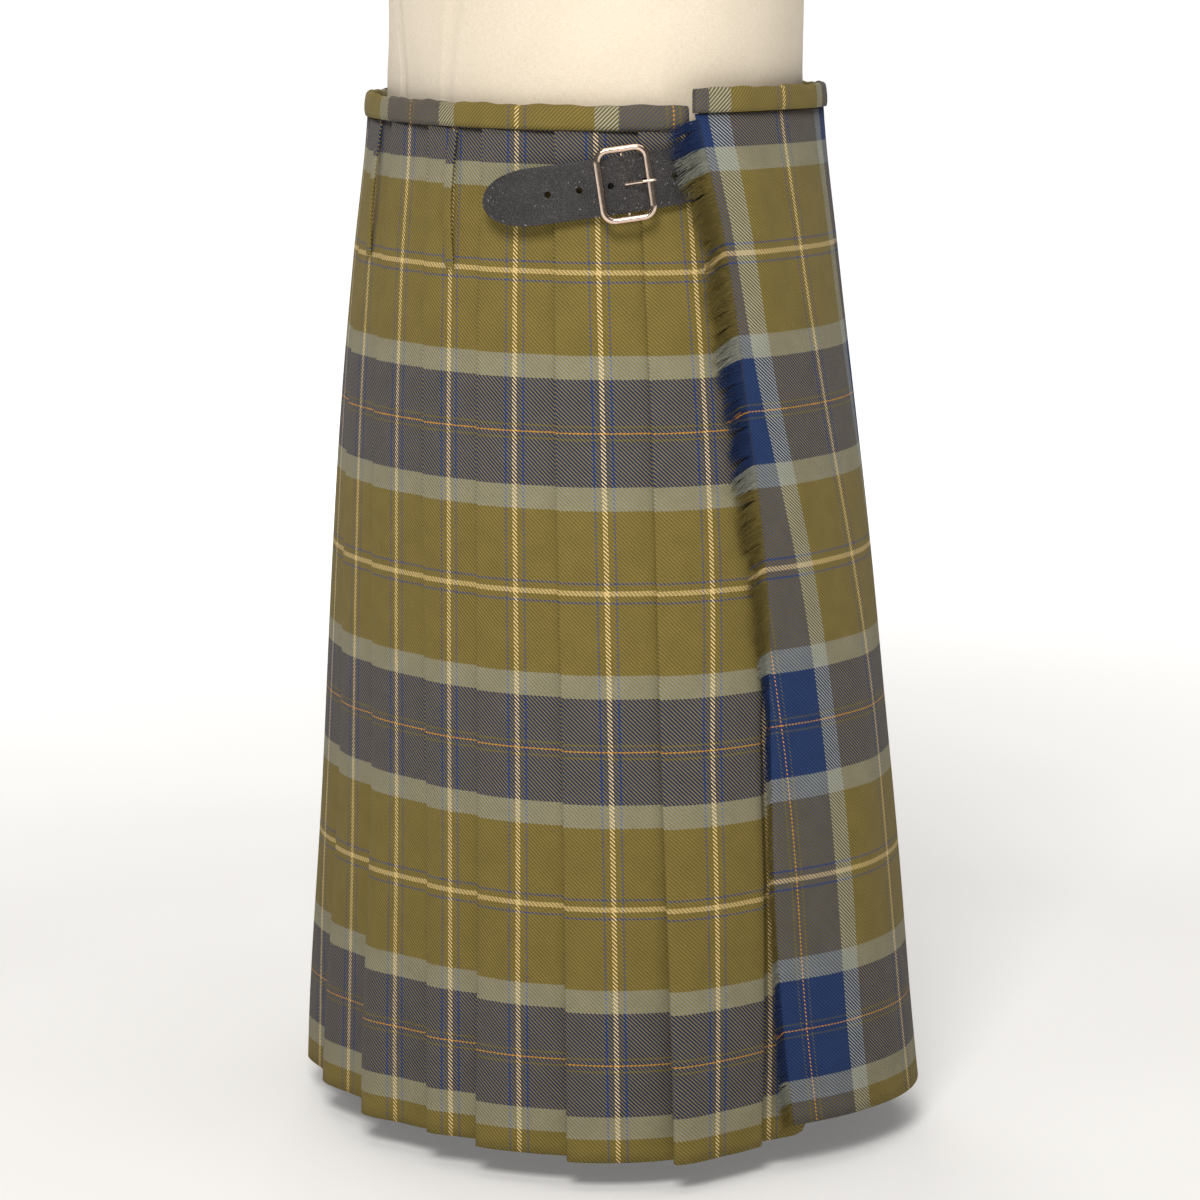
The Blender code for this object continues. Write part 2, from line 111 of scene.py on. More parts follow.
# height, turn of pleat 1's right edge, of the apron's right edge, of its left edge, fringe reach
EDGES = (
    (0.000, 86.7, 80.6, 256.0, 0.0080),
    (0.060, 86.5, 83.0, 256.6, 0.0060),
    (0.150, 86.2, 84.6, 257.2, 0.0030),
    (0.240, 85.8, 84.3, 258.0, 0.0025),
    (0.330, 83.4, 83.8, 258.6, 0.0120),
    (0.420, 82.8, 85.6, 259.4, 0.0140),
    (0.510, 84.5, 89.4, 260.8, 0.0150),
    (0.600, 88.0, 96.0, 262.5, 0.0150),
)

# height above the waistband's top, half width, half depth, forward shift
TORSO = (
    (0.060, 0.1500, 0.1170, 0.007),
    (0.130, 0.1610, 0.1180, 0.007),
    (0.200, 0.1750, 0.1210, 0.007),
    (0.270, 0.1860, 0.1220, 0.008),
    (0.330, 0.1900, 0.1120, 0.003),
    (0.375, 0.1800, 0.0930, -0.002),
    (0.405, 0.1450, 0.0780, -0.006),
    (0.425, 0.0980, 0.0680, -0.010),
    (0.440, 0.0680, 0.0610, -0.012),
    (0.470, 0.0590, 0.0560, -0.012),
    (0.505, 0.0570, 0.0550, -0.010),
)
FORM_SEAMS = (24, 101, 165, 195, 259, 336)

# turn, slope, width, height of its middle, reach, depth: soft creases in the hanging cloth
CREASES = (
    (62, -14, 0.020, 0.19, 0.17, 0.0016),
    (38, 9, 0.028, 0.12, 0.13, 0.0022),
    (12, -6, 0.024, 0.20, 0.20, -0.0015),
    (-15, 8, 0.030, 0.09, 0.12, 0.0024),
    (-44, -10, 0.022, 0.22, 0.16, -0.0017),
    (-72, 6, 0.026, 0.14, 0.15, 0.0018),
    (112, 5, 0.018, 0.16, 0.13, -0.0009),
    (132, -7, 0.016, 0.10, 0.10, 0.0010),
    (163, 6, 0.018, 0.19, 0.14, -0.0010),
    (204, -5, 0.020, 0.13, 0.13, 0.0012),
    (229, 7, 0.018, 0.18, 0.12, -0.0009),
    (249, -6, 0.020, 0.11, 0.12, 0.0010),
)


# ---------------------------------------------------------------- sections of the kilt
def read(table, column, height):
    """A column of a table at a height, on a smooth curve through its rows."""
    rows = [row[0] for row in table]
    values = [row[column] for row in table]
    height = min(max(height, rows[0]), rows[-1])
    i = min(max(int(np.searchsorted(rows, height)) - 1, 0), len(rows) - 2)
    slopes = np.gradient(values, rows)
    span = rows[i + 1] - rows[i]
    u = (height - rows[i]) / span
    return (values[i] * (1 + 2 * u) * (1 - u) ** 2 + values[i + 1] * u * u * (3 - 2 * u)
            + span * (slopes[i] * u * (1 - u) ** 2 - slopes[i + 1] * u * u * (1 - u)))


def smooth(value, low, high):
    u = min(max((value - low) / (high - low), 0.0), 1.0)
    return u * u * (3 - 2 * u)


@functools.lru_cache(maxsize=None)
def ring_sizes(height):
    return tuple(read(RINGS, column, height) for column in (1, 2, 3, 4))


def on_ring(turn, height):
    half_width, front, back, squareness = ring_sizes(round(height, 6))
    side, ahead = math.sin(math.radians(turn)), math.cos(math.radians(turn))
    depth, power = (front, squareness) if ahead > 0 else (back, BACK_SQUARENESS)
    radius = (abs(side / half_width) ** power + abs(ahead / depth) ** power) ** (-1 / power)
    return Vector((RING_SIDE - side * radius, RING_BACK - ahead * radius, HEM_Z + height))


def crease(turn, height):
    """How far the hanging cloth moves out at a soft crease; every layer moves together."""
    depth = 0.0
    for middle, slope, width, high, reach, deep in CREASES:
        away = (turn - middle + 180) % 360 - 180 - slope * (height - high) / 0.2
        across = away * 0.0032 / width
        along = (height - high) / reach
        if abs(across) < 3 and abs(along) < 2:
            depth += deep * math.exp(-across * across - 2 * along * along)
    ripple = math.sin(math.radians(turn * 7 + 40)) * math.sin(height * 13 + 0.6)
    return depth + 0.0004 * ripple * smooth(height, 0.62, 0.35)


def inset(height):
    """The rings are the cloth's outer surface, so its innermost layer starts this far inside."""
    return 0.0030 + 0.0040 * (1 - smooth(height, 0, FELL_HEIGHT))


def cloth_point(turn, height, offset, lift=0.0):
    """A point at a turn and height, moved outwards by offset and up by lift."""
    along = on_ring(turn + 0.5, height) - on_ring(turn - 0.5, height)
    outward = Vector((along.y, -along.x, 0)).normalized()
    if outward.dot(on_ring(turn, height) - Vector((RING_SIDE, RING_BACK, HEM_Z + height))) < 0:
        outward.negate()
    return (on_ring(turn, height) + outward * (offset - inset(height) + crease(turn, height))
            + Vector((0, 0, lift)))


@functools.lru_cache(maxsize=None)
def arc_table(height):
    turns = np.linspace(-180, 360, 1081)
    points = np.array([on_ring(turn, height) for turn in turns])
    steps = np.linalg.norm(np.diff(points, axis=0), axis=1)
    return turns, np.concatenate([[0.0], np.cumsum(steps)])


def arc(turn, height):
    turns, lengths = arc_table(round(height, 6))
    return float(np.interp(turn, turns, lengths))


def turn_past(turn, height, distance):
    """The turn that lies a distance along the ring from another."""
    turns, lengths = arc_table(round(height, 6))
    return float(np.interp(arc(turn, height) + distance, lengths, turns))


def step_at(height):
    return STITCHED_STEP + (HEM_STEP - STITCHED_STEP) * (1 - smooth(height, 0, FELL_HEIGHT))


def tuck_at(height):
    return STITCHED_TUCK + (HEM_TUCK - STITCHED_TUCK) * (1 - smooth(height, 0, FELL_HEIGHT))


def pleat_edge(pleat, height):
    """The turn of a pleat's folded edge. Pleat 0 stands for pleat 1's right edge."""
    return read(EDGES, 1, height) if pleat == 0 else read(PLEAT_EDGES, pleat, height)


def apron_rise(turn):
    return APRON_RISE * smooth(turn, -97.5, 96.0)


def apron_offset(turn, height):
    right = read(EDGES, 2, height)
    left = read(EDGES, 3, height) - 360
    near_right = smooth(turn, right - 20, right - 8)
    near_left = smooth(-turn, -left - 22, -left - 9)
    over_strap = 0.0028 * smooth(height, 0.42, 0.545)
    over_pleat_9 = step_at(height) + FACE_FLOOR + 0.0027 - 0.001 * height / CLOTH_TOP
    return (APRON_OFFSET + near_right * (0.0016 + over_strap)
            + near_left * (over_pleat_9 - APRON_OFFSET))


# ---------------------------------------------------------------- shaders
def shader(name, roughness, metallic=0.0, **sockets):
    """A new material with its nodes, ready to be wired."""
    made = bpy.data.materials.new(name)
    made.use_nodes = True
    nodes = made.node_tree.nodes
    base = nodes["Principled BSDF"]
    base.inputs["Roughness"].default_value = roughness
    base.inputs["Metallic"].default_value = metallic
    for socket, value in sockets.items():
        base.inputs[socket.replace("_", " ")].default_value = value
    return made, base


class Wiring:
    """Short calls for the nodes that every finish uses."""

    def __init__(self, made):
        self.nodes = made.node_tree.nodes
        self.links = made.node_tree.links

    def put(self, socket, value):
        if isinstance(value, bpy.types.NodeSocket):
            self.links.new(value, socket)
        else:
            socket.default_value = value

    def math(self, operation, *values):
        node = self.nodes.new("ShaderNodeMath")
        node.operation = operation
        for socket, value in zip(node.inputs, values):
            self.put(socket, value)
        return node.outputs[0]

    def uv(self):
        node = self.nodes.new("ShaderNodeUVMap")
        node.uv_map = "cloth"
        split = self.nodes.new("ShaderNodeSeparateXYZ")
        self.links.new(node.outputs[0], split.inputs[0])
        return node.outputs[0], split.outputs[0], split.outputs[1]

    def place(self):
        return self.nodes.new("ShaderNodeTexCoord").outputs["Object"]

    def noise(self, vector, scale, detail=2.0, stretch=None):
        if stretch:
            mapping = self.nodes.new("ShaderNodeMapping")
            self.links.new(vector, mapping.inputs["Vector"])
            mapping.inputs["Scale"].default_value = stretch
            vector = mapping.outputs[0]
        node = self.nodes.new("ShaderNodeTexNoise")
        self.links.new(vector, node.inputs["Vector"])
        node.inputs["Scale"].default_value = scale
        node.inputs["Detail"].default_value = detail
        return node.outputs["Fac"]

    def ramp(self, value, stops, interpolation="LINEAR"):
        node = self.nodes.new("ShaderNodeValToRGB")
        self.links.new(value, node.inputs[0])
        node.color_ramp.interpolation = interpolation
        elements = node.color_ramp.elements
        for i, (position, colour) in enumerate(stops):
            element = elements[i] if i < 2 else elements.new(position)
            element.position = position
            element.color = (*colour, 1)
        return node.outputs[0]

    def mix(self, share, first, second, blend="MIX"):
        node = self.nodes.new("ShaderNodeMix")
        node.data_type = "RGBA"
        node.blend_type = blend
        self.put(node.inputs[0], share)
        self.put(node.inputs[6], first)
        self.put(node.inputs[7], second)
        return node.outputs[2]

    def bump(self, base, height, distance, strength=1.0):
        node = self.nodes.new("ShaderNodeBump")
        node.inputs["Distance"].default_value = distance
        node.inputs["Strength"].default_value = strength
        self.links.new(height, node.inputs["Height"])
        if base.inputs["Normal"].is_linked:
            self.links.new(base.inputs["Normal"].links[0].from_socket, node.inputs["Normal"])
        self.links.new(node.outputs[0], base.inputs["Normal"])


def linear(red, green, blue):
    """A colour as the eye names it, 0 to 255, made ready for the shaders."""
    values = (red / 255, green / 255, blue / 255)
    return tuple(v / 12.92 if v < 0.04045 else ((v + 0.055) / 1.055) ** 2.4 for v in values)


OLIVE, NAVY, SAGE = linear(126, 111, 59), linear(40, 60, 104), linear(158, 160, 148)
CREAM, ORANGE = linear(224, 196, 136), linear(228, 156, 56)
BLUE, MUSTARD = linear(66, 82, 128), linear(92, 90, 72)

# from a cream line's middle out to an orange line's middle, in millimetres
STRIPES = (
    (0.0, CREAM), (1.4, OLIVE), (4.8, BLUE), (5.9, OLIVE), (47.0, SAGE), (60.5, NAVY),
    (86.9, MUSTARD), (88.0, NAVY), (90.8, ORANGE),
)


def tartan_finish(name="tartan", painted_tuft_shade=0):
    """Two-up two-down twill: diagonal ribs take turns showing the warp's and the weft's colour."""
    made, base = shader(name, 0.88, Sheen_Weight=0.05, Sheen_Roughness=0.45, Specular_IOR_Level=0.10)
    w = Wiring(made)
    vector, across, up = w.uv()
    half = SETT / 2
    stops = [(distance / 1000 / half, colour) for distance, colour in STRIPES]
    wobble = w.math("MULTIPLY", w.math("SUBTRACT", w.noise(vector, 900, 1), 0.5), 0.0007)

    def yarn(value):
        folded = w.math("PINGPONG", w.math("ADD", value, wobble), half)
        return w.ramp(w.math("DIVIDE", folded, half), stops, "CONSTANT")

    weft = yarn(up)
    # The fringe shows only its weft, multiplied darker as painted shade among its tufts.
    if painted_tuft_shade:
        cloth = w.mix(1.0, weft, (painted_tuft_shade, painted_tuft_shade, painted_tuft_shade, 1), "MULTIPLY")
    else:
        warp = yarn(across)
        diagonal = w.math("DIVIDE", w.math("ADD", across, up), 0.0024)
        rib = w.math("PINGPONG", diagonal, 0.5)
        share = w.nodes.new("ShaderNodeMapRange")
        w.links.new(rib, share.inputs[0])
        share.inputs[1].default_value = 0.14
        share.inputs[2].default_value = 0.26
        cloth = w.mix(share.outputs[0], warp, weft)
        depth = w.math("SINE", w.math("MULTIPLY_ADD", diagonal, 2 * math.pi, 1.2))
        # The ribs' colour is darkened in their valleys as painted shade and lightened on their crests as
        # painted highlight; the bump below gives their relief.
        painted_rib_shade_and_highlight = w.ramp(w.math("MULTIPLY_ADD", depth, 0.5, 0.5),
                        ((0, (0.68, 0.67, 0.64)), (1, (1.24, 1.24, 1.24))))
        cloth = w.mix(1.0, cloth, painted_rib_shade_and_highlight, "MULTIPLY")
        w.bump(base, depth, 0.00018, 0.8)
    mottle = w.noise(vector, 60, 4)
    fibres = w.noise(vector, 1500, 2, (1, 3, 1))
    tone = w.ramp(w.math("MULTIPLY_ADD", fibres, 0.6, w.math("MULTIPLY", mottle, 0.4)),
                  ((0.2, (0.74, 0.74, 0.73)), (0.8, (1.22, 1.21, 1.19))))
    w.put(base.inputs["Base Color"], w.mix(1.0, cloth, tone, "MULTIPLY"))
    w.bump(base, fibres, 0.00025, 0.5)
    return made


def leather_finish():
    made, base = shader("black_leather", 0.42, Specular_IOR_Level=0.9, Coat_Weight=0.30, Coat_Roughness=0.45)
    w = Wiring(made)
    place = w.place()
    pores = w.nodes.new("ShaderNodeTexVoronoi")
    w.links.new(place, pores.inputs["Vector"])
    pores.inputs["Scale"].default_value = 900
    pores.feature = "DISTANCE_TO_EDGE"
    grain = w.math("MINIMUM", w.math("MULTIPLY", pores.outputs["Distance"], 4.0), 1.0)
    wear = w.noise(place, 45, 5)
    w.put(base.inputs["Base Color"], w.ramp(wear, ((0.3, linear(20, 17, 17)), (0.75, linear(40, 35, 34)))))
    w.put(base.inputs["Roughness"], w.math("MULTIPLY_ADD", wear, 0.25, 0.30))
    w.bump(base, grain, 0.0005, 0.9)
    w.bump(base, w.noise(place, 160, 3), 0.0006, 0.35)
    return made


def nickel_finish():
    made, base = shader("nickel", 0.16, 1.0)
    w = Wiring(made)
    place = w.place()
    smear = w.noise(place, 160, 4)
    # The base colour is a warm grey, partly nickel's own and partly a painted reflection of the warm cloth
    # round the buckle; the smear noise varies it at random.
    w.put(base.inputs["Base Color"],
          w.ramp(smear, ((0.3, linear(204, 180, 160)), (0.7, linear(222, 200, 182)))))
    w.put(base.inputs["Roughness"], w.math("MULTIPLY_ADD", smear, 0.06, 0.11))
    w.bump(base, w.noise(place, 700, 2, (1, 1, 8)), 0.00004, 0.3)
    return made


def linen_finish():
    """Fine plain weave: two crossed sets of threads with slubs."""
    made, base = shader("form_linen", 0.92, Sheen_Weight=0.15, Specular_IOR_Level=0.15)
    w = Wiring(made)
    vector, across, up = w.uv()
    warp = w.math("SINE", w.math("MULTIPLY", across, 2 * math.pi / 0.0011))
    weft = w.math("SINE", w.math("MULTIPLY", up, 2 * math.pi / 0.0011))
    weave = w.math("MULTIPLY", warp, weft)
    slub = w.noise(vector, 260, 3, (1, 7, 1))
    slub_up = w.noise(vector, 260, 3, (7, 1, 1))
    slubs = w.math("ADD", w.math("MULTIPLY", slub, 0.5), w.math("MULTIPLY", slub_up, 0.5))
    shade = w.math("MULTIPLY_ADD", weave, 0.08, slubs)
    colour = w.ramp(shade, ((0.3, linear(226, 210, 186)), (0.7, linear(246, 236, 218))))
    cloudy = w.ramp(w.noise(vector, 9, 3), ((0.3, (0.95, 0.94, 0.92)), (0.7, (1.02, 1.02, 1.02))))
    w.put(base.inputs["Base Color"], w.mix(1.0, colour, cloudy, "MULTIPLY"))
    w.bump(base, w.math("ADD", weave, slubs), 0.00012, 0.6)
    return made


def wood_finish():
    made, base = shader("neck_cap_wood", 0.42, Coat_Weight=0.25, Coat_Roughness=0.25)
    w = Wiring(made)
    place = w.place()
    rings = w.noise(place, 14, 4, (1, 9, 1))
    pores = w.noise(place, 220, 3, (1, 14, 1))
    colour = w.ramp(rings, ((0.3, linear(150, 108, 68)), (0.7, linear(196, 154, 106))))
    w.put(base.inputs["Base Color"],
          w.mix(w.math("MULTIPLY", pores, 0.35), colour, (*linear(120, 82, 50), 1)))
    w.bump(base, pores, 0.0002, 0.4)
    return made


def stand_finish():
    made, base = shader("stand_paint", 0.38)
    w = Wiring(made)
    place = w.place()
    peel = w.noise(place, 380, 2)
    scuff = w.noise(place, 24, 6)
    w.put(base.inputs["Base Color"],
          w.ramp(scuff, ((0.3, linear(214, 211, 205)), (0.7, linear(232, 230, 225)))))
    w.put(base.inputs["Roughness"], w.math("MULTIPLY_ADD", scuff, 0.25, 0.25))
    w.bump(base, peel, 0.00015, 0.3)
    return made


# ---------------------------------------------------------------- making pieces
def finish_piece(made, slot, *nodes):
    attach(made, "root")
    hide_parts(*nodes)
    return made


def woven(name, columns, rows, place, spread, thickness, finish, bevel=0.0):
    """A grid of cloth: place(column, row) puts each point, spread(column, row) says where it is on
    the flat cloth, and Solidify gives it its thickness."""
    points = [place(column, row) for row in range(rows + 1) for column in range(columns + 1)]
    flat = [spread(column, row) for row in range(rows + 1) for column in range(columns + 1)]
    faces = []
    for row in range(rows):
        for column in range(columns):
            corner = row * (columns + 1) + column
            faces.append((corner, corner + 1, corner + columns + 2, corner + columns + 1))
    mesh = bpy.data.meshes.new(name)
    mesh.from_pydata(points, [], faces)
    layer = mesh.uv_layers.new(name="cloth")
    for loop in mesh.loops:
        layer.data[loop.index].uv = flat[loop.vertex_index]
    made = bpy.data.objects.new(name, mesh)
    bpy.context.collection.objects.link(made)
    mesh.materials.append(finish)
    face = mesh.polygons[len(mesh.polygons) // 2]
    if face.normal.dot(face.center - Vector((0, 0, face.center.z))) < 0:
        mesh.flip_normals()
    mesh.shade_smooth()
    solid = made.modifiers.new("thickness", "SOLIDIFY")
    solid.thickness = thickness
    solid.offset = 0
    solid.use_even_offset = False
    if bevel:
        edge = made.modifiers.new("edge", "BEVEL")
        edge.width = bevel
        edge.segments = 2
        edge.limit_method = "ANGLE"
        edge.angle_limit = math.radians(50)
    return made


def heights(low, high, count):
    return [low + (high - low) * i / count for i in range(count + 1)]


# ---------------------------------------------------------------- pleats
def opening_at(pleat, height):
    spring, reach = OPENINGS[pleat][:2]
    return spring * (1 - smooth(height, 0, reach)) ** 1.5


def pleat_section(pleat, height):
    """(distance from the fold, offset) along one pleat's cloth, hidden return to hidden lap."""
    step = step_at(height)
    top = step + FACE_FLOOR
    width = arc(pleat_edge(pleat, height), height) - arc(pleat_edge(pleat - 1, height), height)
    tuck = min(tuck_at(height), 0.85 * width)
    if pleat == 1:
        tuck = min(tuck, 0.4 * width)
    spring = opening_at(pleat, height)
    fold = step / 4

    def sprung(distance):
        return spring * (1 - smooth(distance, 0, 0.6 * width)) ** 1.2

    section = [(tuck * (1 - i / 6), top - step / 2 - step * tuck * (1 - i / 6) / width
                + 0.6 * sprung(tuck * (1 - i / 6))) for i in range(6)]
    for i in range(7):
        angle = math.pi * i / 6
        section.append((-fold * math.sin(angle), top - fold - fold * math.cos(angle) + sprung(0)))
    faces = 14
    for i in range(1, faces + 1):
        distance = width * i / faces
        open_cloth = 1 - smooth(height, 0.08, FELL_HEIGHT + 0.05)
        crown = (0.0002 + OPENINGS[pleat][3] * open_cloth) * math.sin(math.pi * i / faces) ** 0.8
        section.append((distance, top - step * i / faces + sprung(distance) + crown))
    if pleat == 1:
        low = top - step
        section += [(width + fold * math.sin(math.pi * i / 4), low - fold + fold * math.cos(math.pi * i / 4))
                    for i in range(1, 5)]
        section += [(width - tuck * i / 4, low - 2 * fold + step * tuck * i / 4 / width) for i in range(1, 5)]
        return section, width
    neighbour = arc(pleat_edge(pleat - 1, height), height) - arc(pleat_edge(pleat - 2, height), height)
    lap = min(tuck_at(height), 0.85 * neighbour)
    if pleat == 2:
        lap = min(lap, 0.4 * neighbour)
    section += [(width + lap * i / 5, top - step - step * lap * i / 5 / neighbour) for i in range(1, 6)]
    return section, width


def make_pleat(pleat, finish):
    rows = heights(0, CLOTH_TOP, 84)
    sections = [pleat_section(pleat, height) for height in rows]
    lengths = []
    for section, width in sections:
        steps = [math.hypot(b[0] - a[0], b[1] - a[1]) for a, b in zip(section, section[1:])]
        run = np.concatenate([[0.0], np.cumsum(steps)])
        lengths.append(run - run[9] - width / 2)
    drop = OPENINGS[pleat][2]

    def place(column, row):
        height = rows[row]
        distance, offset = sections[row][0][column]
        turn = turn_past(pleat_edge(pleat, height), height, -distance)
        return cloth_point(turn, height, offset, -drop * (1 - smooth(height, 0, 0.2)))

    def spread(column, row):
        return lengths[row][column], rows[row] - CREAM_HEIGHT

    name = f"pleat_{pleat}_cloth"
    made = woven(name, len(sections[0][0]) - 1, len(rows) - 1, place, spread, CLOTH, finish)
    finish_piece(made, "tartan", f"pleat_{pleat}")
    width = float(np.mean([run[-1] - run[0] for run in lengths]))
    return made


# ---------------------------------------------------------------- aprons and fringe
def apron_phase(height):
    """How far the apron's right edge is from its first cream line."""
    return -0.068 - 0.040 * (1 - smooth(height, 0.12, 0.52))


def make_over_apron(finish, fringe):
    columns, rows = 150, heights(0, CLOTH_TOP, 84)

    def turn_at(column, row):
        height = rows[row]
        left, right = read(EDGES, 3, height) - 360, read(EDGES, 2, height)
        return left + (right - left) * column / columns

    def place(column, row):
        turn = turn_at(column, row)
        return cloth_point(turn, rows[row], apron_offset(turn, rows[row]), apron_rise(turn))

    def spread(column, row):
        height = rows[row]
        right = arc(read(EDGES, 2, height), height)
        return apron_phase(height) + right - arc(turn_at(column, row), height), height - CREAM_HEIGHT

    made = woven("over_apron_cloth", columns, len(rows) - 1, place, spread, CLOTH, finish)
    finish_piece(made, "tartan", "over_apron")


def make_under_apron(finish):
    rows = heights(0, CLOTH_TOP, 60)
    columns = 110

    def turn_at(column, row):
        return -84 + (read(EDGES, 1, rows[row]) + 5 + 84) * column / columns

    def place(column, row):
        turn, height = turn_at(column, row), rows[row]
        hem_lift = 0.013 * (1 - smooth(height, 0, 0.2)) * (1 - smooth(turn, 75, 78))
        return cloth_point(turn, height, FACE_FLOOR - step_at(height) / 2 - 0.0016, hem_lift)

    def spread(column, row):
        height = rows[row]
        return arc(84, height) - arc(turn_at(column, row), height), height - CREAM_HEIGHT

    made = woven("under_apron_cloth", columns, len(rows) - 1, place, spread, CLOTH, finish)
    finish_piece(made, "tartan", "under_apron")


def make_fringe(finish):
    """Frayed weft yarns in tufts: each a thin tapering three-sided strand that curls and droops."""
    chance = random.Random(7)
    shape = bmesh.new()
    layer = shape.loops.layers.uv.new("cloth")
    count, parts, tuft_pitch = 4200, 5, 0.0085
    tufts = {}
    for strand in range(count):
        height = (CLOTH_TOP - 0.003) * (strand + chance.random()) / count
        edge = read(EDGES, 2, height)
        tuft = int(height / tuft_pitch)
        if tuft not in tufts:
            tufts[tuft] = (chance.uniform(-0.0090, -0.0025), chance.uniform(0.80, 1.10),
                           chance.uniform(-0.0008, 0.0012))
        hang, length, puff = tufts[tuft]
        reach = max(read(EDGES, 4, height), 0.0040) * length * chance.uniform(0.70, 1.18)
        gather = ((tuft + 0.5) * tuft_pitch - height) * chance.uniform(0.1, 0.5)
        droop = (hang + gather) * reach / 0.015 + chance.uniform(-0.0012, 0.0012)
        level = chance.uniform(-0.0012, 0.0012) + puff
        curl, phase = chance.uniform(0.0002, 0.0011), chance.uniform(0, 6.28)
        over_pleat = 0.0012 * smooth(height, 0.24, 0.30)
        over_strap = 0.0036 * smooth(height, 0.42, 0.545)
        rings = []
        for part in range(parts + 1):
            u = part / parts
            distance = -0.0012 + (reach + 0.0012) * u
            radius = 0.00028 * (1 - 0.6 * u)
            offset = apron_offset(edge, height) + over_pleat + over_strap * u * 0.8 - 0.0002
            offset += level * u + curl * math.sin(phase + 7 * u) * u
            lift = apron_rise(96) + droop * u ** 1.6 + curl * math.cos(phase + 6 * u) * u
            turn = turn_past(edge, height, distance)
            middle = cloth_point(turn, height, offset, lift)
            out = (cloth_point(turn, height, offset + 0.001, lift) - middle).normalized()
            ring = []
            for corner in range(3):
                angle = 2 * math.pi * corner / 3 + 0.5
                side = Vector((0, 0, 1)) * math.cos(angle) + out * math.sin(angle)
                ring.append(shape.verts.new(middle + side * radius))
            rings.append(ring)
        faces = [shape.faces.new(rings[0]), shape.faces.new(list(reversed(rings[-1])))]
        for a, b in zip(rings, rings[1:]):
            for i in range(3):
                j = (i + 1) % 3
                faces.append(shape.faces.new((a[j], a[i], b[i], b[j])))
        for face in faces:
            for loop in face.loops:
                loop[layer].uv = (strand * 0.0004, height - CREAM_HEIGHT)
    bmesh.ops.recalc_face_normals(shape, faces=shape.faces)
    mesh = bpy.data.meshes.new("fringe_yarns")
    shape.to_mesh(mesh)
    shape.free()
    mesh.materials.append(finish)
    mesh.shade_smooth()
    made = bpy.data.objects.new("fringe_yarns", mesh)
    bpy.context.collection.objects.link(made)
    return finish_piece(made, "fringe_wool", "fringe")


# ---------------------------------------------------------------- waistband and belt loops
def make_band(name, first, last, offset, half, rises, back, finish):
    """A strip folded over the kilt's top edge: up the inside, over a round top, down the outside."""
    columns = int(abs(last - first) * 0.8)
    profile = [(-half, 0.0), (-half, 0.25), (-half, 0.5), (-half, 0.75)]
    profile += [(-half * math.cos(math.pi * i / 6), 0.84 + 0.16 * math.sin(math.pi * i / 6))
                for i in range(1, 6)]
    profile += [(half, 0.75), (half * 1.12, 0.5), (half * 1.08, 0.25), (half * 0.8, 0.04)]
    run = [0.0]
    for a, b in zip(profile, profile[1:]):
        run.append(run[-1] + math.hypot(a[0] - b[0], (a[1] - b[1]) * BAND_HEIGHT))
    low = KILT_LENGTH - BAND_HEIGHT

    def place(column, row):
        turn = first + (last - first) * column / columns
        across, up = profile[row]
        middle = offset(turn) if callable(offset) else offset
        uneven = 0.0004 * math.sin(turn * 0.31) + 0.0003 * math.sin(turn * 0.83 + 1)
        lift = (apron_rise(turn) if rises else 0) + uneven * up
        return cloth_point(turn, low + BAND_HEIGHT * up, middle + across, lift)

    def spread(column, row):
        turn = first + (last - first) * column / columns
        if back:
            middle = (arc(pleat_edge(3, low), low) + arc(pleat_edge(2, low), low)) / 2
            across = middle - arc(turn, low)
        else:
            across = apron_phase(low) + arc(read(EDGES, 2, low), low) - arc(turn, low)
        return across, 0.011 + run[row]

    made = woven(name + "_cloth", columns, len(profile) - 1, place, spread, 0.0011, finish)
    finish_piece(made, "tartan", name)
    length = (arc(max(first, last), low) - arc(min(first, last), low))


def make_belt_loop(name, pleat, finish):
    rows = 40
    top = CLOTH_TOP - 0.002

    def place(column, row):
        u = row / rows
        height = top - LOOP_LENGTH * u
        middle = (pleat_edge(pleat, height) + pleat_edge(pleat - 1, height)) / 2
        lean = 0.0012 * math.sin(math.pi * u) * (1 if pleat == 4 else -1)
        turn = turn_past(middle, height, LOOP_WIDTH * (column / 4 - 0.5) + lean)
        face = FACE_FLOOR + step_at(height) * 0.58
        crown = 0.0004 * math.sin(math.pi * column / 4)
        return cloth_point(turn, height, face + 0.0017 + crown + LOOP_BOW * math.sin(math.pi * u))

    def spread(column, row):
        return 0.018 - LOOP_WIDTH * column / 4, CLOTH_TOP - LOOP_LENGTH * row / rows - CREAM_HEIGHT

    made = woven(name + "_cloth", 4, rows, place, spread, 0.0014, finish, 0.0003)
    finish_piece(made, "tartan", name)


# ---------------------------------------------------------------- straps and buckles
def strap_offset(word, along):
    start = 0.0030 * (1 - smooth(along, 0, 0.035)) if word == "right" else 0
    buckle = BUCKLE_ALONG[word]
    hump = 0.0042 * math.exp(-((along - buckle) / 0.017) ** 2)
    spring = 0.0075 if word == "right" else 0.0010
    return 0.0068 - start + hump + spring * smooth(along, buckle + 0.005, STRAP_LENGTHS[word])


def strap_point(word, along, across, raised=0.0):
    height = STRAP_HEIGHT - along * math.sin(STRAP_TILT) + across
    turn = turn_past(STRAP_STARTS[word], STRAP_HEIGHT, along * math.cos(STRAP_TILT))
    turn += math.degrees(across * math.sin(STRAP_TILT) / 0.15)
    point = cloth_point(turn, height, strap_offset(word, along) + raised)
    if word == "left":
        point.x = 2 * RING_SIDE - point.x
    return point


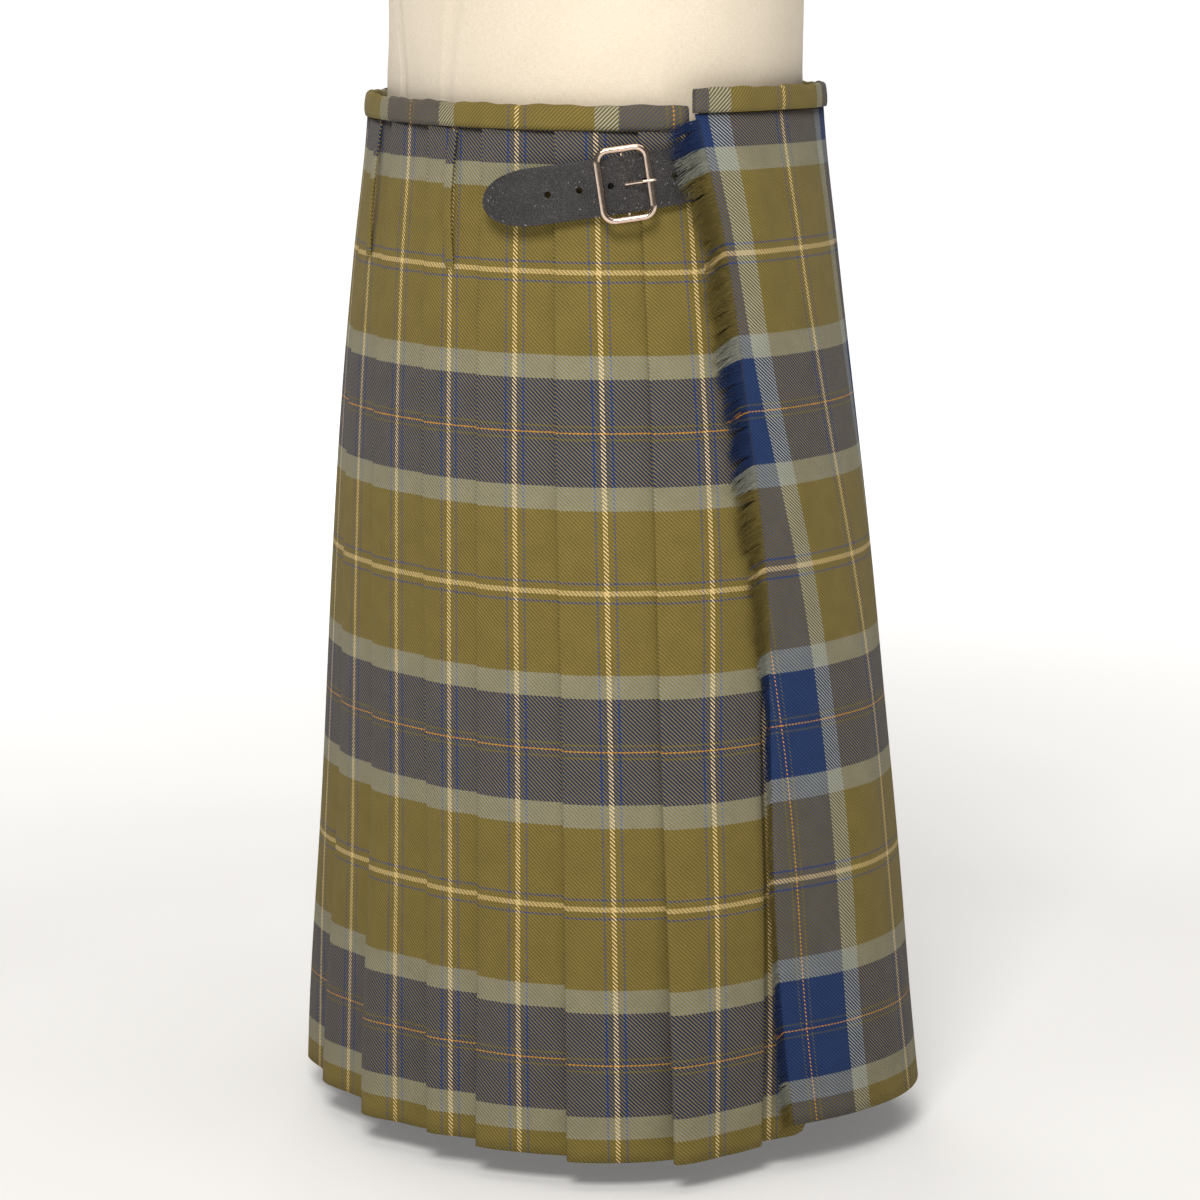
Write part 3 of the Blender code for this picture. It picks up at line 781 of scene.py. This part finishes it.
def strap_axes(word, along):
    """X along the strap to its tip, Z outwards, at a place on its middle line."""
    here = strap_point(word, along, 0)
    run = (strap_point(word, along + 0.004, 0) - strap_point(word, along - 0.004, 0)).normalized()
    across = strap_point(word, along, 0.004) - strap_point(word, along, -0.004)
    out = run.cross(across).normalized()
    if out.dot(Vector((here.x, here.y, 0))) < 0:
        out.negate()
    across = out.cross(run).normalized()
    return Matrix.Translation(here) @ Matrix((run, across, out)).transposed().to_4x4()


def deselect():
    for chosen in list(bpy.context.selected_objects):
        chosen.select_set(False)


def apply_all(made):
    deselect()
    made.select_set(True)
    bpy.context.view_layer.objects.active = made
    for modifier in list(made.modifiers):
        bpy.ops.object.modifier_apply(modifier=modifier.name)
    deselect()


def make_strap(word, finish):
    columns, across_count, length = 110, 12, STRAP_LENGTHS[word]
    tip = 0.030 if word == "right" else 0.020

    def half_at(along):
        rounded = max(0.0, (along - length + tip) / tip)
        return STRAP_WIDTH / 2 * max(math.sqrt(max(1 - rounded ** 2.2, 0)), 0.06)

    def along_at(column):
        u = column / columns
        return length * (u if u < 0.8 else 0.8 + 0.2 * math.sin((u - 0.8) / 0.2 * math.pi / 2))

    def place(column, row):
        along = along_at(column)
        return strap_point(word, along, half_at(along) * (row / across_count * 2 - 1))

    def spread(column, row):
        return along_at(column), half_at(along_at(column)) * (row / across_count * 2 - 1)

    made = woven(f"strap_{word}_leather", columns, across_count, place, spread, STRAP_THICK, finish, 0.0007)
    apply_all(made)
    for hole in STRAP_HOLES[word]:
        bpy.ops.mesh.primitive_cylinder_add(vertices=20, radius=0.0019, depth=0.012)
        punch = bpy.context.object
        punch.matrix_world = strap_axes(word, hole)
        cut = made.modifiers.new("hole", "BOOLEAN")
        cut.operation = "DIFFERENCE"
        cut.solver = "EXACT"
        cut.object = punch
        apply_all(made)
        bpy.data.objects.remove(punch)
    finish_piece(made, "black_leather", f"strap_{word}")


def wire(name, points, radius, closed, place, finish, slot, node):
    """A round wire along points in the buckle's own axes, made a mesh."""
    line = bpy.data.curves.new(name, "CURVE")
    line.dimensions = "3D"
    spline = line.splines.new("POLY")
    spline.points.add(len(points) - 1)
    for target, (x, y, z, share) in zip(spline.points, points):
        target.co = (*(place @ Vector((x, y, z))), 1)
        target.radius = share
    spline.use_cyclic_u = closed
    line.bevel_depth = radius
    line.bevel_resolution = 6
    line.use_fill_caps = not closed
    drawn = bpy.data.objects.new(name + "_line", line)
    bpy.context.collection.objects.link(drawn)
    mesh = bpy.data.meshes.new_from_object(drawn.evaluated_get(bpy.context.evaluated_depsgraph_get()))
    bpy.data.objects.remove(drawn)
    shape = bmesh.new()
    shape.from_mesh(mesh)
    bmesh.ops.remove_doubles(shape, verts=shape.verts, dist=0.000001)
    bmesh.ops.recalc_face_normals(shape, faces=shape.faces)
    shape.to_mesh(mesh)
    shape.free()
    mesh.materials.clear()
    mesh.materials.append(finish)
    made = bpy.data.objects.new(name, mesh)
    bpy.context.collection.objects.link(made)
    mesh.shade_smooth()
    return finish_piece(made, slot, node)


def rounded_frame():
    points = []
    x0, y0 = FRAME_ALONG / 2 - FRAME_WIRE, FRAME_ACROSS / 2 - FRAME_WIRE
    height = STRAP_THICK / 2 + SEAM + FRAME_WIRE
    for quarter in range(4):
        middle_x = (x0 - FRAME_CORNER) * (1 if quarter in (0, 3) else -1)
        middle_y = (y0 - FRAME_CORNER) * (1 if quarter in (0, 1) else -1)
        for i in range(11):
            angle = math.pi / 2 * (quarter + i / 10)
            points.append((middle_x + FRAME_CORNER * math.cos(angle),
                           middle_y + FRAME_CORNER * math.sin(angle), height, 1))
    return points


def make_buckle(word, metal, leather):
    place = strap_axes(word, BUCKLE_ALONG[word])
    wire(f"buckle_frame_{word}_metal", rounded_frame(), FRAME_WIRE, True, place, metal, "nickel",
         f"buckle_frame_{word}")
    bar_z = -(STRAP_THICK / 2 + SEAM + BAR_RADIUS)
    half_bar = FRAME_ACROSS / 2 - 2 * FRAME_WIRE - SEAM
    wire(f"buckle_bar_{word}_metal", [(0, -half_bar, bar_z, 1), (0, half_bar, bar_z, 1)], BAR_RADIUS,
         False, place, metal, "nickel", f"buckle_bar_{word}")
    top = STRAP_THICK / 2 + SEAM
    rest = top + 2 * FRAME_WIRE + SEAM
    prong = []
    for i in range(17):
        u = i / 16
        x = 0.0 - 0.018 * u
        z = top + 0.0012 + (rest - top - 0.0002) * smooth(u, 0, 0.65)
        prong.append((x, 0, z, 1 - 0.4 * u * u if i < 16 else 0.3))
    wire(f"buckle_prong_{word}_metal", prong, 0.0011, False, place, metal, "nickel", f"buckle_prong_{word}")

    def tab(column, row):
        along = BUCKLE_ALONG[word] - 0.004 + 0.024 * column / 12
        return strap_point(word, along, 0.011 * (row / 4 - 1), TAB_OFFSET - strap_offset(word, along))

    made = woven(f"buckle_tab_{word}_leather", 12, 8, tab, lambda c, r: (c * 0.002, r * 0.002), 0.0012,
                 leather, 0.0003)
    finish_piece(made, "black_leather", f"buckle_tab_{word}")


# ---------------------------------------------------------------- dress form
def make_torso(finish):
    columns = 144
    low = ((0.215, 0.02), (0.2155, 0.53), (0.225, 0.70), (0.235, 0.80), (0.25, 0.88), (0.27, 0.93),
           (0.30, 0.97))
    rows = list(low) + [(height, 1.0) for height in heights(0.33, 0.625, 20)]
    tops = heights(0.060, 0.505, 64)

    def seam_dip(turn, width):
        away = min(abs((turn - seam + 180) % 360 - 180) for seam in FORM_SEAMS) * width / 57.3
        return 0.0019 * math.exp(-(away / 0.0017) ** 2) - 0.0007 * math.exp(-((away - 0.0050) / 0.0028) ** 2)

    def point(turn, row):
        if row < len(rows):
            height, closing = rows[row]
            share = smooth(height, 0.33, 0.59)
            gap = 0.012 + (0.0085 - 0.012) * share + inset(height)
            away = on_ring(turn, height)
            out = (away - Vector((RING_SIDE, RING_BACK, away.z))).normalized()
            away -= out * (gap + seam_dip(turn, 0.15))
            middle = Vector((0, 0, away.z))
            return middle + (away - middle) * closing
        height = tops[row - len(rows)]
        half_width, half_depth = read(TORSO, 1, height), read(TORSO, 2, height)
        side, ahead = math.sin(math.radians(turn)), math.cos(math.radians(turn))
        fade = 1 - smooth(height, 0.42, 0.45)
        shrink = 1 - seam_dip(turn, half_width) * fade / max(half_width, 0.05)
        return Vector((RING_SIDE - side * half_width * shrink,
                       RING_BACK - ahead * half_depth * shrink - read(TORSO, 3, height),
                       HEM_Z + KILT_LENGTH + height))

    count = len(rows) + len(tops)
    shape = bmesh.new()
    layer = shape.loops.layers.uv.new("cloth")
    rings = []
    for row in range(count):
        rings.append([shape.verts.new(point(360 * column / columns, row)) for column in range(columns)])
    for row in range(count - 1):
        for column in range(columns):
            after = (column + 1) % columns
            face = shape.faces.new((rings[row][column], rings[row][after], rings[row + 1][after],
                                    rings[row + 1][column]))
            for loop, (c, r) in zip(face.loops, ((column, row), (column + 1, row), (column + 1, row + 1),
                                                 (column, row + 1))):
                loop[layer].uv = (c * 0.0075, rings[r][0].co.z)
    for ring in (rings[0], rings[-1]):
        face = shape.faces.new(ring)
        for loop in face.loops:
            loop[layer].uv = (loop.vert.co.x, loop.vert.co.y)
    bmesh.ops.recalc_face_normals(shape, faces=shape.faces)
    mesh = bpy.data.meshes.new("form_torso_linen")
    shape.to_mesh(mesh)
    shape.free()
    mesh.materials.append(finish)
    made = bpy.data.objects.new("form_torso_linen", mesh)
    bpy.context.collection.objects.link(made)
    mesh.shade_smooth()
    mesh.set_sharp_from_angle(angle=math.radians(60))
    finish_piece(made, "form_linen", "form_torso")


def dress(node, finish):
    """A CAD node that stays as it is and takes a finish."""
    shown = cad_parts[node]
    shown.data.materials.clear()
    shown.data.materials.append(finish)


# ---------------------------------------------------------------- studio
def make_studio():
    bpy.ops.mesh.primitive_plane_add(size=240, location=(0, 0, 0))
    floor = bpy.context.object
    floor.name = "studio_floor"
    paper, base = shader("floor_paper", 0.9)
    w = Wiring(paper)
    place = w.place()
    grain = w.noise(place, 3, 2)
    w.put(base.inputs["Base Color"], w.ramp(grain, ((0.3, (0.84, 0.84, 0.84)), (0.7, (0.87, 0.87, 0.87)))))
    # The floor carries painted light: it glows faintly near the form and almost white far off, and that far
    # glow lights the kilt from low down.
    away = w.nodes.new("ShaderNodeVectorMath")
    away.operation = "LENGTH"
    w.links.new(place, away.inputs[0])
    painted_floor_light = w.nodes.new("ShaderNodeMapRange")
    w.links.new(away.outputs["Value"], painted_floor_light.inputs[0])
    for socket, value in zip(painted_floor_light.inputs[1:5], (0.6, 3.5, 0.16, 0.97)):
        socket.default_value = value
    base.inputs["Emission Color"].default_value = (1, 1, 1, 1)
    w.links.new(painted_floor_light.outputs[0], base.inputs["Emission Strength"])
    floor.data.materials.append(paper)

    world = bpy.data.worlds.new("studio_air")
    bpy.context.scene.world = world
    world.use_nodes = True
    world.node_tree.nodes["Background"].inputs["Color"].default_value = (1.0, 0.985, 0.965, 1)
    world.node_tree.nodes["Background"].inputs["Strength"].default_value = 0.13

    # name, turn seen from above, distance, height, size, strength
    lamps = (("key", 127, 2.2, 2.2, 0.9, 54), ("front", -75, 3.0, 2.0, 2.0, 30),
             ("top", 20, 0.3, 3.4, 3.0, 44))
    for name, turn, away, height, size, power in lamps:
        data = bpy.data.lights.new(name, "AREA")
        data.size = size
        data.energy = power
        data.color = (1.0, 0.97, 0.93)
        lamp = bpy.data.objects.new(name, data)
        bpy.context.collection.objects.link(lamp)
        angle = math.radians(turn)
        lamp.location = (-math.sin(angle) * away, -math.cos(angle) * away, height)
        aim = Vector((0, 0, 0.66)) - lamp.location
        lamp.rotation_euler = aim.to_track_quat("-Z", "Y").to_euler()

    turn, away, height, pitch = math.radians(118.78), 2.3045, 0.7125, math.radians(10.19)
    data = bpy.data.cameras.new("camera")
    data.lens = 113.0
    data.sensor_width = 36
    data.shift_x = 0.01375
    camera = bpy.data.objects.new("camera", data)
    bpy.context.collection.objects.link(camera)
    camera.location = (RING_SIDE - math.sin(turn) * away, RING_BACK - math.cos(turn) * away, HEM_Z + height)
    ahead = Vector((math.sin(turn) * math.cos(pitch), math.cos(turn) * math.cos(pitch), -math.sin(pitch)))
    camera.rotation_euler = ahead.to_track_quat("-Z", "Y").to_euler()
    bpy.context.scene.camera = camera
    bpy.context.scene.view_settings.view_transform = "Standard"


def main():
    deselect()
    tartan = tartan_finish()
    # the fringe's wool, darkened to 0.72 as painted shade in its tufts
    yarn = tartan_finish("fringe_wool", 0.72)
    leather, nickel, linen = leather_finish(), nickel_finish(), linen_finish()
    make_torso(linen)
    dress("form_neck_cap", wood_finish())
    stand = stand_finish()
    dress("stand_pole", stand)
    dress("stand_base", stand)
    for pleat in range(1, PLEATS + 1):
        make_pleat(pleat, tartan)
    make_over_apron(tartan, make_fringe(yarn))
    make_under_apron(tartan)
    make_band("waistband_back", 96.7, 261.8, 0.0024, 0.0027, False, True, tartan)
    make_band("waistband_over_apron", -97.6, 96.0,
              lambda turn: apron_offset(turn, KILT_LENGTH - BAND_HEIGHT) + 0.0006, 0.0018,
              True, False, tartan)
    make_band("waistband_under_apron", -84, 93, -0.0036, 0.0007, False, False, tartan)
    make_belt_loop("belt_loop_right", 4, tartan)
    make_belt_loop("belt_loop_left", 6, tartan)
    for word in STRAP_STARTS:
        make_strap(word, leather)
        make_buckle(word, nickel, leather)
    make_studio()


main()
